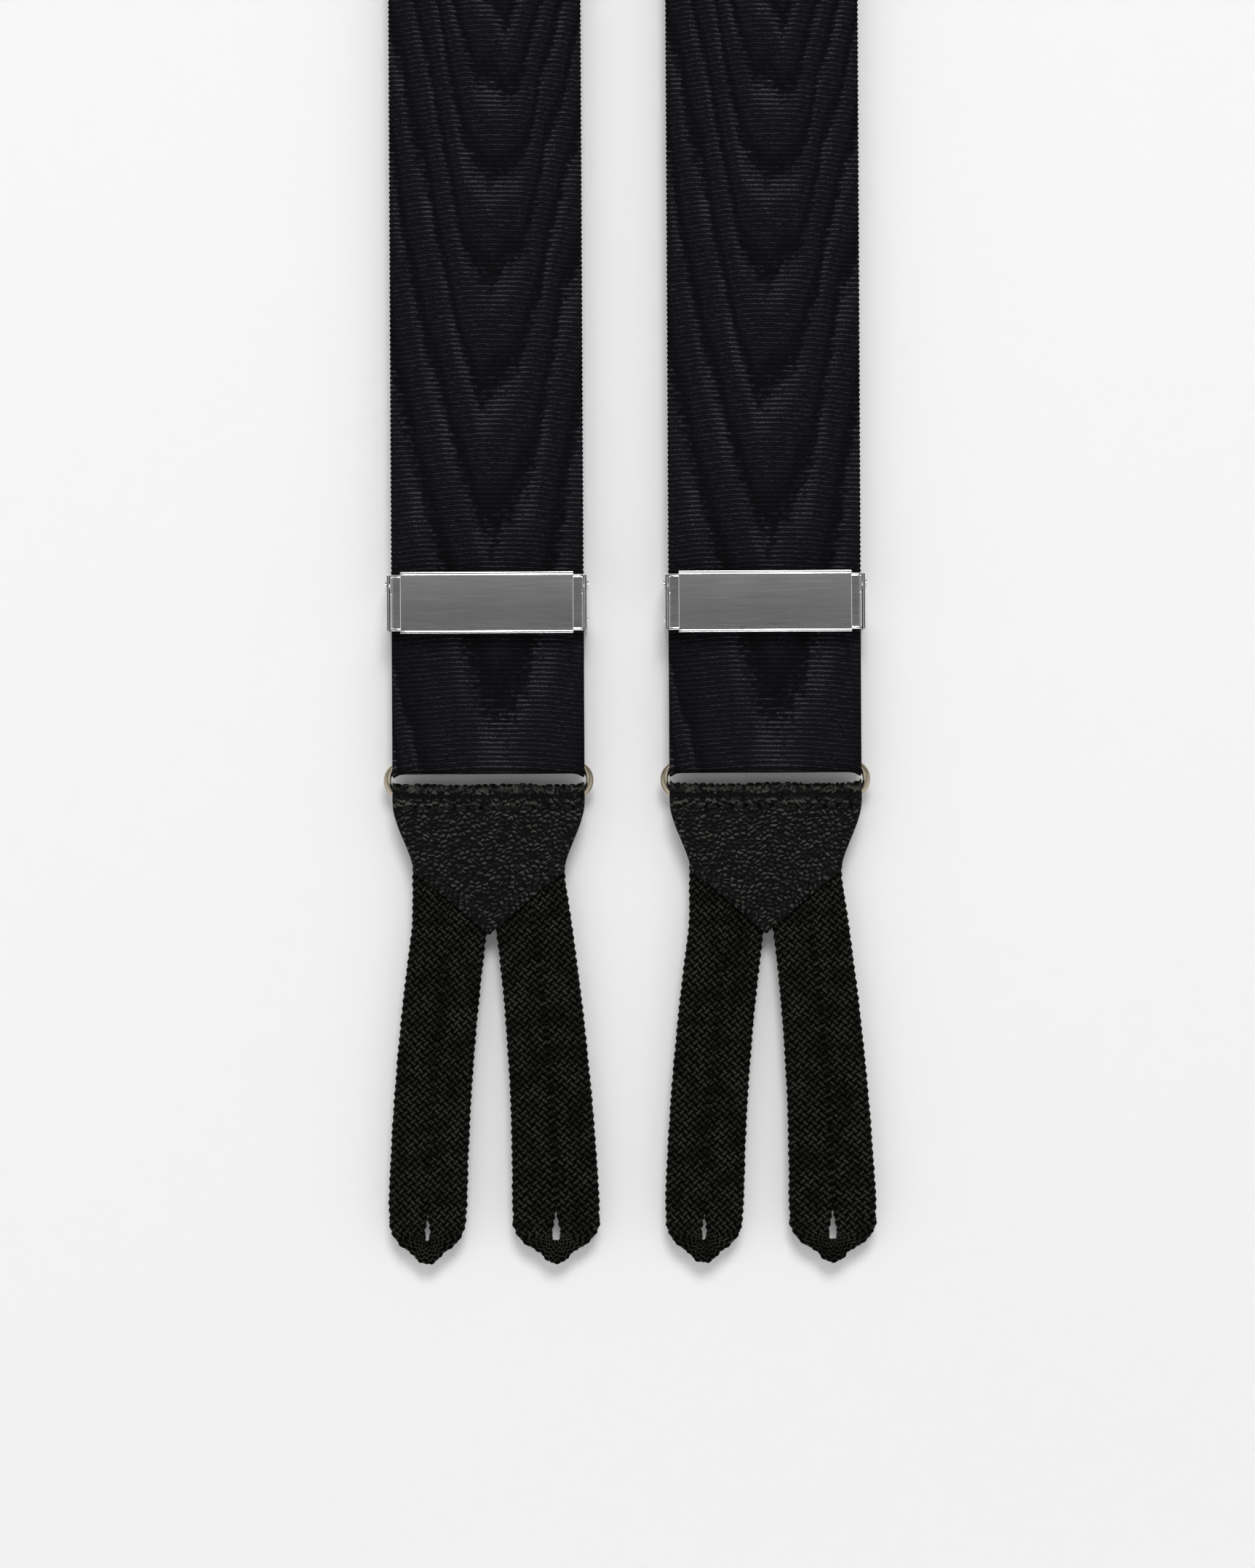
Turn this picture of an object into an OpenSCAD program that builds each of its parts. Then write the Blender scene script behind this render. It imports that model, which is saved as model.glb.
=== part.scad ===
// Button-on suspenders, draped over a hanger bar as they drape over a shoulder.
// The bar's axis is the origin and runs along X. The two front straps hang on the -Y side with their
// outer faces towards -Y, and the yoke, the elastic and the back tab hang on the +Y side.
//
// Most pieces are drawn in a strap's own flat frame, and a placing module stands them up:
//   X across the strap, Y the height above the lowest point of that strap's loops, Z towards its outer face.

/* [Straps] */
// Width of the ribbon
ribbon_w = 38; // [36:0.5:40]
// Thickness of the ribbon
ribbon_t = 1; // [0.8:0.1:1.2]
// Distance between the middles of the two front straps
strap_pitch = 54.8; // [52:0.2:60]
// Radius of the hanger bar, and so of the bend over it
hanger_r = 20; // [19:0.5:24]
// Height of the bar's axis above the lowest point of the front loops
front_drop = 655; // [600:5:720]
// Height of the bar's axis above the lowest point of the back loops
back_drop = 380; // [370:5:400]
// Height above the front loops where the ribbon starts to shorten or lengthen as the slide moves
run_top = 300; // [290:5:340]

/* [Yoke and elastic] */
// How far below the bar's axis the two ribbons meet behind
meeting_drop = 126; // [120:1:132]
// Width of the yoke patch at its top
yoke_w = 84; // [82:1:88]
// Height of the yoke patch's lower edge above the back loops
yoke_bottom = 198; // [192:1:200]
// Height of the yoke patch's outer top corners above the back loops
yoke_top = 271; // [269:1:273]
// Thickness of the yoke's leather
yoke_t = 1.3; // [1:0.1:1.6]
// Width of the elastic strap
elastic_w = 34; // [30:1:36]
// Thickness of the elastic strap
elastic_t = 1.2; // [1:0.1:1.4]
// How far the elastic is turned back up behind its wire loop
elastic_return = 25; // [18:1:32]

/* [Slide adjuster] */
// Width of the slide's frame
slide_w = 39.44; // [39.4:0.02:41]
// Height of the slide's frame
slide_h = 11.1; // [10:0.1:12]
// Height of the middle of the slide above the loops
slide_at = 130.85; // [126:0.05:136]
// Thickness of the sheet that the frame and the lever are bent from
sheet_t = 0.6; // [0.5:0.05:0.8]
// Width of the raised polished plate
plate_w = 34.1; // [30:0.1:34.4]
// Height of the raised polished plate
plate_h = 12.1; // [11:0.1:13]
// Radius of the two short pivot pins
pivot_r = 0.6; // [0.5:0.05:0.65]
// Length of the ribbon's hem below the bar that it is sewn round
hem_drop = 8; // [6:0.5:10]

/* [Wire loop] */
// Radius of the wire
wire_r = 0.75; // [0.6:0.05:0.8]
// Length of the loop's straight bars
bar_length = 34; // [33.8:0.1:36]
// Distance between the middles of the loop's two bars
bar_gap = 6.1; // [5.8:0.1:7]
// Height of the lower bar above the loops
low_bar = 92.8; // [90:0.1:96]

/* [Leather tab] */
// Thickness of the leather
leather_t = 1.2; // [1:0.1:1.3]
// Half the width of the tab at its shoulders
tab_half_w = 19; // [18:0.1:20]
// Half the width of the tab at its lower corners
tab_half_low_w = 14.7; // [14:0.1:16]
// Height of the tab's lower corners above the loops
tab_corner = 77.8; // [76:0.1:80]
// Height of the tab's point above the loops
tab_point = 65.4; // [64:0.1:68]

/* [Braided loops] */
// Thickness of the braid
braid_t = 2.6; // [2.2:0.1:3]
// Sideways place of the first loop's lower end
first_loop_x = -12.15; // [-14:0.05:-12]
// Half the width of the first loop at its lower end
first_loop_half_w = 7.95; // [7.5:0.05:8.2]
// Width of the first loop's buttonhole
first_hole_w = 1.4; // [1.2:0.1:2.4]
// Sideways place of the second loop's lower end
second_loop_x = 13.45; // [13:0.05:15]
// Half the width of the second loop at its lower end
second_loop_half_w = 9.1; // [8:0.05:9.3]
// Width of the second loop's buttonhole
second_hole_w = 2.3; // [1.2:0.1:2.6]

/* [Stitching] */
// Distance from one stitch to the next
stitch_pitch = 2.6; // [2:0.1:4]
// Thickness of the sewing thread
thread_t = 0.25; // [0.2:0.05:0.4]

/* [Hidden] */
$fn = 64;

// Clearance of a wire or a pin in what turns on it
fit = 0.05;
// Clearance between pieces that slide or lie face to face
gap = 0.1;
strap_x = strap_pitch / 2;
half_w = ribbon_w / 2;

// The wire loop hangs in the fold of the ribbon, whose inner faces lie hanger_r from the bar's plane
fold_r = wire_r + fit;
loop_z = hanger_r - fold_r;
top_bar = low_bar + bar_gap;
// Folds and wraps stay this much inside the loop's round ends
fold_half_w = bar_length / 2 - 0.2;
// A strap is full width again this far from the bar that it folds round
fold_clear = 2.65;

// Leather wraps the lower bar a little more loosely than the ribbon does the upper one
wrap_r = wire_r + 0.25;
tab_back_z = loop_z - wrap_r - leather_t;
tab_front_z = loop_z + wrap_r;

// The slide's frame is a channel behind and beside the ribbon
wall_t = 0.52;
slide_low = slide_at - slide_h / 2;
slide_top = slide_at + slide_h / 2;
wall_top_z = hanger_r + 4.95;
frame_back_z = hanger_r - gap - sheet_t;
plate_z = hanger_r + 4.6;
pivot_at = slide_at + 3.35;
pivot_z = hanger_r + 3.9;
pivot_head_r = 1;
lever_half_w = slide_w / 2 - wall_t - 0.15;
// The bar that the end of the ribbon is sewn round
hem_bar_r = 0.8;
hem_bar_at = slide_low + 2.2;
hem_in_r = hem_bar_r + fit;
hem_bar_z = loop_z - fold_r - ribbon_t - hem_in_r;

// The ribbons bend towards each other in the plane of the back
bend_in = strap_x - half_w;
bend_r = (meeting_drop * meeting_drop + bend_in * bend_in) / (2 * bend_in);
bend_angle = 9.2;
yoke_corner_low = yoke_bottom + 5;
yoke_corner_high = yoke_top - 9;

// Braids run straight down, and bow outwards as the square of the height that is left
braid_bow = 0.001;
braid_top = low_bar - wrap_r - 1.4;
braid_turn = 9.2;
braid_top_half_w = 7.5;
braid_split = 64.5;
hole_low = 4.75;
hole_high = 13;
nub_r = 3.4;

RIBBON = [0.05, 0.05, 0.06];
METAL = [0.72, 0.7, 0.67];
LEATHER = [0.1, 0.1, 0.1];
BRAID = [0.12, 0.11, 0.09];
THREAD = [0.2, 0.19, 0.18];

// Placing: -1 is the strap on the left as the wearer's front is seen, 1 is the one on the right
module on_strap(side) {
    translate([side * strap_x, 0, -front_drop]) rotate([90, 0, 0]) children();
}

module on_back() {
    rotate([0, 0, 180]) translate([0, 0, -back_drop]) rotate([90, 0, 0]) children();
}

// A flat layer of a strap, centred across it, from height low to high with its inner face at z
module layer(width, low, high, z, thickness) {
    translate([-width / 2, low, z]) cube([width, high - low, thickness]);
}

// Half a tube round a bar at height at and depth z: a fold below the bar, or a wrap above it
module half_tube(width, at, z, inner, thickness, above) {
    translate([-width / 2, at, z])
        rotate([0, 90, 0])
        rotate([0, 0, above ? 0 : 180])
        rotate_extrude(angle = 180)
        translate([inner, 0])
        square([thickness, width]);
}

// A run of stitches from p to q on a face at height z, with stitch_length of thread showing in each
module stitch_run(p, q, z, stitch_length = 1.6) {
    span = norm(q - p);
    count = max(1, floor(span / stitch_pitch));
    turn = atan2(q[1] - p[1], q[0] - p[0]);
    for (i = [0 : count - 1])
        translate(concat(p + (q - p) * (i + 0.5) / count, [z]))
            rotate([0, 0, turn])
            translate([-stitch_length / 2, -thread_t, 0])
            cube([stitch_length, 2 * thread_t, thread_t]);
}

// ---- Ribbons ----

// From the top of the moving run, up the front, over the bar and down to the yoke
module ribbon(side) {
    front_low = run_top - front_drop;
    color(RIBBON)
        mirror([side < 0 ? 1 : 0, 0, 0])
        union() {
            translate([strap_x - half_w, -hanger_r - ribbon_t, front_low])
                cube([ribbon_w, ribbon_t, -front_low]);
            translate([strap_x - half_w, 0, 0])
                rotate([90, 0, 90])
                rotate_extrude(angle = 180)
                translate([hanger_r, 0])
                square([ribbon_t, ribbon_w]);
            difference() {
                translate([strap_x - bend_r, hanger_r + ribbon_t, 0])
                    rotate([90, 0, 0])
                    rotate([0, 0, -bend_angle])
                    rotate_extrude(angle = bend_angle)
                    translate([bend_r - half_w, 0])
                    square([ribbon_w, ribbon_t]);
                ribbon_end_cut();
            }
        }
}

// What is cut off a ribbon's lower end: past the middle, and below a slant inside the yoke
module ribbon_end_cut() {
    slant_low = yoke_bottom + 34 - back_drop;
    slant_high = yoke_bottom + 58 - back_drop;
    far = 2 * meeting_drop;
    translate([0, hanger_r + 2 * ribbon_t, 0])
        rotate([90, 0, 0])
        linear_extrude(3 * ribbon_t)
        polygon([[gap / 2, 0], [gap / 2, slant_low], [strap_x + half_w, slant_high],
                 [far, slant_high], [far, -far], [-far, -far], [-far, 0]]);
}

// The stretch above the slide, which shortens as the slide goes up
module ribbon_run() {
    color(RIBBON) layer(ribbon_w, slide_at + gap / 2, run_top, hanger_r, ribbon_t);
}

// The doubled stretch below the slide, folded round the wire loop's upper bar
module ribbon_tail() {
    full = top_bar + fold_clear;
    back_z = loop_z - fold_r - ribbon_t;
    color(RIBBON)
        union() {
            layer(ribbon_w, full, slide_at - gap / 2, hanger_r, ribbon_t);
            layer(2 * fold_half_w, top_bar, full, hanger_r, ribbon_t);
            half_tube(2 * fold_half_w, top_bar, loop_z, fold_r, ribbon_t, false);
            layer(2 * fold_half_w, top_bar, full, back_z, ribbon_t);
            layer(ribbon_w, full, hem_bar_at - gap, back_z, ribbon_t);
        }
}

// The end of the ribbon, turned over the slide's rear bar and sewn down behind
module ribbon_hem() {
    color(RIBBON)
        union() {
            half_tube(ribbon_w, hem_bar_at, hem_bar_z, hem_in_r, ribbon_t, true);
            layer(ribbon_w, hem_bar_at - hem_drop, hem_bar_at,
                  hem_bar_z - hem_in_r - ribbon_t, ribbon_t);
        }
}

module hem_stitching() {
    face = hem_bar_z - hem_in_r - ribbon_t - thread_t;
    row = hem_bar_at - hem_drop + 2;
    color(THREAD)
        for (up = [0, 2.2])
            stitch_run([-half_w + 1.5, row + up], [half_w - 1.5, row + up], face);
}

// ---- Slide adjuster ----

module cross_bar(radius, half_length, at, z) {
    translate([-half_length, at, z])
        rotate([0, 90, 0])
        cylinder(r = radius, h = 2 * half_length);
}

module hem_bar() {
    color(METAL) cross_bar(hem_bar_r, slide_w / 2 + 0.15, hem_bar_at, hem_bar_z);
}

// A channel of bent sheet: a back plate, two side walls and two lugs that hold the rear bar
module slide_frame() {
    lug_half_h = 1.7;
    lug_z = hem_bar_z - 1.6;
    color(METAL)
        difference() {
            union() {
                layer(slide_w, slide_low, slide_top, frame_back_z, sheet_t);
                for (side = [-1, 1])
                    translate([side * (slide_w - wall_t) / 2, 0, 0]) {
                        layer(wall_t, slide_low, slide_top, frame_back_z,
                              wall_top_z - frame_back_z);
                        layer(wall_t, hem_bar_at - lug_half_h, hem_bar_at + lug_half_h,
                              lug_z, frame_back_z + sheet_t - lug_z);
                    }
            }
            cross_bar(hem_bar_r + fit, slide_w, hem_bar_at, hem_bar_z);
            cross_bar(pivot_r + fit, slide_w, pivot_at, pivot_z);
        }
}

// The polished plate with its lower side strips, two ears on the pins and a toothed gripping bar
module lever() {
    strip_z = plate_z - sheet_t + gap;
    ear_t = 0.55;
    teeth = 14;
    tooth_w = 1.2;
    teeth_at = pivot_at - 1;
    color(METAL)
        difference() {
            union() {
                layer(plate_w, slide_at - plate_h / 2, slide_at + plate_h / 2, plate_z, sheet_t);
                layer(2 * lever_half_w, slide_low, slide_top, strip_z, sheet_t);
                for (side = [-1, 1])
                    translate([side * (lever_half_w - ear_t / 2), 0, 0])
                        layer(ear_t, pivot_at - 1.9, pivot_at + 1.9, pivot_z - 1.5,
                              strip_z - pivot_z + 1.6);
                layer(plate_w, teeth_at, teeth_at + sheet_t, hanger_r + 1.9, strip_z - hanger_r - 1.8);
                for (i = [0 : teeth - 1])
                    translate([(i - (teeth - 1) / 2) * plate_w / teeth, 0, 0])
                        layer(tooth_w, teeth_at, teeth_at + sheet_t, hanger_r + ribbon_t + gap, 1);
            }
            cross_bar(pivot_r + fit, slide_w, pivot_at, pivot_z);
        }
}

// Two short headed pins, fixed in the frame's walls
module lever_pins() {
    pin_in = lever_half_w - 0.65;
    color(METAL)
        for (side = [0, 1])
            mirror([side, 0, 0])
            translate([pin_in, pivot_at, pivot_z])
            rotate([0, 90, 0]) {
                cylinder(r = pivot_r, h = slide_w / 2 - pin_in + 0.1);
                translate([0, 0, slide_w / 2 - pin_in + fit])
                    cylinder(r = pivot_head_r, h = 0.25);
            }
}

// ---- Wire loop, leather tab and braided loops ----

module wire_loop() {
    middle = low_bar + bar_gap / 2;
    color(METAL)
        union() {
            for (at = [low_bar, top_bar])
                cross_bar(wire_r, bar_length / 2, at, loop_z);
            for (side = [0, 1])
                mirror([side, 0, 0])
                translate([bar_length / 2, middle, loop_z])
                rotate([0, 0, -90])
                rotate_extrude(angle = 180)
                translate([bar_gap / 2, 0])
                circle(r = wire_r);
        }
}

// One side of the tab's outline, from under the wrap down to the point
function tab_side(mirrored) = [
    for (p = [[tab_half_w, low_bar - 1.3], [tab_half_w - 0.5, 89], [tab_half_w - 2.3, 84.4],
              [tab_half_low_w + 0.5, 80.4], [tab_half_low_w, tab_corner]])
        [mirrored * p[0], p[1]]];

module tab_panel(z) {
    right = tab_side(1);
    left = tab_side(-1);
    translate([0, 0, z])
        linear_extrude(leather_t)
        union() {
            polygon(concat(right, [[0, tab_point]], [for (i = [len(left) - 1 : -1 : 0]) left[i]]));
            translate([-fold_half_w, low_bar - 2])
                square([2 * fold_half_w, 2]);
        }
}

module leather_tab() {
    color(LEATHER)
        union() {
            tab_panel(tab_front_z);
            tab_panel(tab_back_z);
            half_tube(2 * fold_half_w, low_bar, loop_z, wrap_r, leather_t, true);
        }
}

module tab_stitching() {
    row = low_bar - 2.3;
    inset = 1.6;
    corner = [tab_half_low_w - inset, tab_corner + 0.8];
    point = [0, tab_point + 2 * inset];
    color(THREAD)
        for (z = [tab_front_z + leather_t, tab_back_z - thread_t]) {
            stitch_run([-tab_half_w + 2, row], [tab_half_w - 2, row], z);
            stitch_run(corner, point, z);
            stitch_run([-corner[0], corner[1]], point, z);
        }
}

// Half the width of a braided loop at height u, and the sideways place of its middle there.
// The two loops of a tab curve towards each other until they lie side by side.
function braid_half(half_low, u) =
    braid_top_half_w + (half_low - braid_top_half_w) * pow((braid_top - u) / braid_top, 2);
function braid_middle(x, half_low, u) =
    sign(x) * max(abs(x) - braid_bow * u * u, braid_half(half_low, u) + gap);

module braid_outline(x, half_low, hole_w) {
    rows = 12;
    turns = 10;
    side_rows = [for (i = [0 : rows]) braid_top + (braid_turn - braid_top) * i / rows];
    difference() {
        union() {
            polygon(concat(
                [for (u = side_rows)
                    [braid_middle(x, half_low, u) + braid_half(half_low, u), u]],
                [for (i = [1 : turns - 1])
                    [x + half_low * cos(180 * i / turns),
                     braid_turn - (braid_turn - 1.2) * sin(180 * i / turns)]],
                [for (i = [rows : -1 : 0])
                    let (u = side_rows[i])
                    [braid_middle(x, half_low, u) - braid_half(half_low, u), u]]));
            translate([x, nub_r]) circle(r = nub_r);
        }
        translate([x - hole_w / 2, hole_low]) square([hole_w, hole_high - hole_low]);
    }
}

// Full thickness below the leather, and pressed flat between its two panels
module braid_loop(x, half_low, hole_w) {
    color(BRAID)
        union() {
            intersection() {
                translate([0, 0, loop_z - braid_t / 2])
                    linear_extrude(braid_t)
                    braid_outline(x, half_low, hole_w);
                layer(4 * half_w, -1, braid_split, 0, 2 * hanger_r);
            }
            intersection() {
                translate([0, 0, tab_back_z + leather_t])
                    linear_extrude(2 * wrap_r)
                    braid_outline(x, half_low, hole_w);
                layer(4 * half_w, braid_split - 1, braid_top, 0, 2 * hanger_r);
            }
        }
}

module braid_loop_a() {
    braid_loop(first_loop_x, first_loop_half_w, first_hole_w);
}

module braid_loop_b() {
    braid_loop(second_loop_x, second_loop_half_w, second_hole_w);
}

// Cross stitches that hold the two runs of each braid side by side, down to the buttonhole
module braid_seams() {
    seam_low = hole_high + 6;
    seam_half_w = 0.9;
    color(THREAD)
        for (loop = [[first_loop_x, first_loop_half_w], [second_loop_x, second_loop_half_w]])
            for (u = [seam_low : stitch_pitch : braid_split - 2])
                translate([braid_middle(loop[0], loop[1], u) - seam_half_w, u,
                           loop_z + braid_t / 2])
                    cube([2 * seam_half_w, 2 * thread_t, thread_t]);
}

// ---- Yoke and elastic ----

function ease(t) = t <= 0 ? 0 : t >= 1 ? 1 : t * t * (3 - 2 * t);
function yoke_half(u) = elastic_w / 2 + 2
    + (yoke_w / 2 - elastic_w / 2 - 2) * ease((u - yoke_corner_low) / (yoke_corner_high - yoke_corner_low));

// One side of the yoke from the notch between the ribbons, round the shoulder and down to the middle
function yoke_side(inset) = let (rows = 10) concat(
    [[0, yoke_top - 9 - inset], [6, yoke_top - 5 - inset], [20, yoke_top - inset],
     [yoke_w / 2 - 3, yoke_top + 1 - inset], [yoke_w / 2 - inset, yoke_top - 3 - inset]],
    [for (i = [0 : rows])
        let (u = yoke_corner_high - (yoke_corner_high - yoke_corner_low) * i / rows)
        [yoke_half(u) - inset, u]],
    [[elastic_w / 2 + 2 - inset, yoke_bottom + 2 + inset], [0, yoke_bottom - 2 + inset]]);

module yoke_panel(inset, z, thickness) {
    side = yoke_side(inset);
    translate([0, 0, z])
        linear_extrude(thickness)
        polygon(concat(side, [for (i = [len(side) - 2 : -1 : 1]) [-side[i][0], side[i][1]]]));
}

module yoke_patch() {
    color(LEATHER) yoke_panel(0, hanger_r + elastic_t + gap, yoke_t);
}

module yoke_lining() {
    color(LEATHER) yoke_panel(0.6, hanger_r - gap - 1.1, 1.1);
}

module yoke_stitching() {
    side = yoke_side(2);
    color(THREAD)
        for (i = [0 : len(side) - 2], flip = [-1, 1])
            stitch_run([flip * side[i][0], side[i][1]], [flip * side[i + 1][0], side[i + 1][1]],
                       hanger_r + elastic_t + gap + yoke_t);
}

module elastic_strap() {
    full = top_bar + fold_clear;
    back_z = loop_z - fold_r - elastic_t;
    color(RIBBON)
        union() {
            layer(elastic_w, full, yoke_bottom + 33, hanger_r, elastic_t);
            layer(2 * fold_half_w - 1, top_bar, full, hanger_r, elastic_t);
            half_tube(2 * fold_half_w - 1, top_bar, loop_z, fold_r, elastic_t, false);
            layer(2 * fold_half_w - 1, top_bar, full, back_z, elastic_t);
            layer(elastic_w, full, top_bar + elastic_return, back_z, elastic_t);
        }
}

// A sewn box through both layers of the elastic
module elastic_stitching() {
    edge = elastic_w / 2 - 2.5;
    low = top_bar + 7;
    high = top_bar + elastic_return - 3;
    corners = [[-edge, low], [edge, low], [edge, high], [-edge, high]];
    color(THREAD)
        for (i = [0 : 3])
            stitch_run(corners[i], corners[(i + 1) % 4], hanger_r + elastic_t);
}

ribbon(-1);  // left_ribbon
ribbon(1);  // right_ribbon
on_strap(-1) ribbon_run();  // left_ribbon_run
on_strap(1) ribbon_run();  // right_ribbon_run
on_strap(-1) ribbon_tail();  // left_ribbon_tail
on_strap(1) ribbon_tail();  // right_ribbon_tail
on_strap(-1) ribbon_hem();  // left_ribbon_hem
on_strap(1) ribbon_hem();  // right_ribbon_hem
on_strap(-1) hem_stitching();  // left_hem_stitching
on_strap(1) hem_stitching();  // right_hem_stitching
on_strap(-1) hem_bar();  // left_hem_bar
on_strap(1) hem_bar();  // right_hem_bar
on_strap(-1) slide_frame();  // left_slide_frame
on_strap(1) slide_frame();  // right_slide_frame
on_strap(-1) lever();  // left_lever
on_strap(1) lever();  // right_lever
on_strap(-1) lever_pins();  // left_lever_pins
on_strap(1) lever_pins();  // right_lever_pins
on_strap(-1) wire_loop();  // left_wire_loop
on_strap(1) wire_loop();  // right_wire_loop
on_strap(-1) leather_tab();  // left_leather_tab
on_strap(1) leather_tab();  // right_leather_tab
on_strap(-1) tab_stitching();  // left_tab_stitching
on_strap(1) tab_stitching();  // right_tab_stitching
on_strap(-1) braid_loop_a();  // left_braid_loop_a
on_strap(1) braid_loop_a();  // right_braid_loop_a
on_strap(-1) braid_loop_b();  // left_braid_loop_b
on_strap(1) braid_loop_b();  // right_braid_loop_b
on_strap(-1) braid_seams();  // left_braid_seams
on_strap(1) braid_seams();  // right_braid_seams
on_back() yoke_patch();
on_back() yoke_lining();
on_back() yoke_stitching();
on_back() elastic_strap();
on_back() elastic_stitching();
on_back() wire_loop();  // back_wire_loop
on_back() leather_tab();  // back_leather_tab
on_back() tab_stitching();  // back_tab_stitching
on_back() braid_loop_a();  // back_braid_loop_a
on_back() braid_loop_b();  // back_braid_loop_b
on_back() braid_seams();  // back_braid_seams
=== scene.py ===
"""Button-on suspenders: the looks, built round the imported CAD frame.

Lengths are in millimetres in a strap's own flat frame, as in the CAD source: x across the strap, u the
height above the lowest point of its loops, w the depth towards its outer face. Strap.place() turns them into
metres. In a strip of cloth or leather, s is the length along it and t the way through its thickness.
"""

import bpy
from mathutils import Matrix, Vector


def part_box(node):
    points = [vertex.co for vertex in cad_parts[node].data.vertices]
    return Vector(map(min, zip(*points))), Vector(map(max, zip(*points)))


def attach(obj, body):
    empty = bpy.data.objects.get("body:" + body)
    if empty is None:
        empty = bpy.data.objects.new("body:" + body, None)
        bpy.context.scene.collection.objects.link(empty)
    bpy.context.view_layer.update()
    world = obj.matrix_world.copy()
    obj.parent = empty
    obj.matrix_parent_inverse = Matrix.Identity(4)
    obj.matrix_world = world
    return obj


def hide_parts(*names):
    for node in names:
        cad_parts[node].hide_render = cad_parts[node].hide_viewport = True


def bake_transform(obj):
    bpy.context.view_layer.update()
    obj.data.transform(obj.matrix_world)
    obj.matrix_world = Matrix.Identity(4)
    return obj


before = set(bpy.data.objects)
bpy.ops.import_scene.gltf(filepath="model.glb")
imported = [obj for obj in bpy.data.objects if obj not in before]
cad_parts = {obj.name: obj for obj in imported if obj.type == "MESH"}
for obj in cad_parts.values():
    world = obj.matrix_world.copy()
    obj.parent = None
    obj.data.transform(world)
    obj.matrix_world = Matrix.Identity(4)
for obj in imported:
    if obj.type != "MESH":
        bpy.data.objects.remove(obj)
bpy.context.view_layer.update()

import math

import bpy
import numpy as np
from mathutils import Vector

MM = 0.001


# ---- Measures, read from the CAD nodes ----


def corners(node):
    """The lowest and highest corner of a CAD node, in millimetres."""
    low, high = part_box(node)
    return np.array(low) / MM, np.array(high) / MM


class Strap:
    """One hanging end, and where its flat frame stands. outward is -1 in front and 1 behind."""

    def __init__(self, name, outward):
        low, high = corners(f"{name}_wire_loop")
        self.name = name
        self.outward = outward
        self.x = (low[0] + high[0]) / 2
        self.z = min(corners(f"{name}_braid_loop_{end}")[0][2] for end in "ab")

    def place(self, points):
        """Flat-frame points in metres, where they stand."""
        x, u, w = np.moveaxis(np.asarray(points, float), -1, 0)
        return np.stack([self.x - self.outward * x, self.outward * w, self.z + u], axis=-1) * MM

    def measure(self, node):
        """The lowest and highest x, u and w of a CAD node."""
        ends = np.array(corners(node))
        flat = np.stack([(self.x - ends[:, 0]) * self.outward, ends[:, 2] - self.z,
                         ends[:, 1] * self.outward], axis=1)
        return flat.min(0), flat.max(0)


LEFT = Strap("left", -1)
RIGHT = Strap("right", -1)
BACK = Strap("back", 1)

wire_low, wire_high = LEFT.measure("left_wire_loop")
WIRE_R = (wire_high[2] - wire_low[2]) / 2
LOOP_W = (wire_high[2] + wire_low[2]) / 2
LOW_BAR, TOP_BAR = wire_low[1] + WIRE_R, wire_high[1] - WIRE_R
END_R = (TOP_BAR - LOW_BAR) / 2
BAR_HALF = wire_high[0] - WIRE_R - END_R

run_low, run_high = LEFT.measure("left_ribbon_run")
HALF_W = run_high[0]
RIBBON_T = run_high[2] - run_low[2]
RIBBON_W_MID = (run_high[2] + run_low[2]) / 2
SLIDE_MID = run_low[1]

tail_low, _ = LEFT.measure("left_ribbon_tail")
FOLD_R = LOOP_W - tail_low[2] - RIBBON_T / 2
hem_low, hem_high = LEFT.measure("left_ribbon_hem")
bar_low, bar_high = LEFT.measure("left_hem_bar")
HEM_BAR_U = (bar_low[1] + bar_high[1]) / 2
HEM_BAR_W = (bar_low[2] + bar_high[2]) / 2
HEM_END_U = hem_low[1]
HEM_R = hem_high[2] - HEM_BAR_W - RIBBON_T / 2

tab_low, tab_high = LEFT.measure("left_leather_tab")
TAB_HALF_W = tab_high[0]
TAB_TIP = tab_low[1]
LEATHER_T = 1.2
WRAP_R = tab_high[2] - LOOP_W - LEATHER_T / 2


def ease(t):
    """0 up to 0, 1 from 1 on, and a smooth step between."""
    t = np.clip(t, 0, 1)
    return t * t * (3 - 2 * t)


# ---- Meshes ----


def grid_faces(rows, columns, start=0):
    """Quads of a tube of rows rings with columns points each."""
    i, j = np.meshgrid(np.arange(rows - 1), np.arange(columns), indexing="ij")
    k = (j + 1) % columns
    quads = np.stack([i * columns + j, i * columns + k, (i + 1) * columns + k, (i + 1) * columns + j], -1)
    return quads.reshape(-1, 4) + start


def tube_faces(count, rows, columns):
    """Quads of count separate tubes, and the rings that close their ends."""
    size = rows * columns
    quads = np.concatenate([grid_faces(rows, columns, n * size) for n in range(count)])
    caps = []
    for n in range(count):
        first = n * size + np.arange(columns)
        caps += [first[::-1].tolist(), (first + size - columns).tolist()]
    return quads, caps


def signed_volume(points, quads):
    """Negative where the faces look inwards."""
    a, b, c, d = (points[quads[:, n]] for n in range(4))
    return (np.einsum("ij,ij->i", a, np.cross(b, c)) + np.einsum("ij,ij->i", a, np.cross(c, d))).sum()


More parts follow.
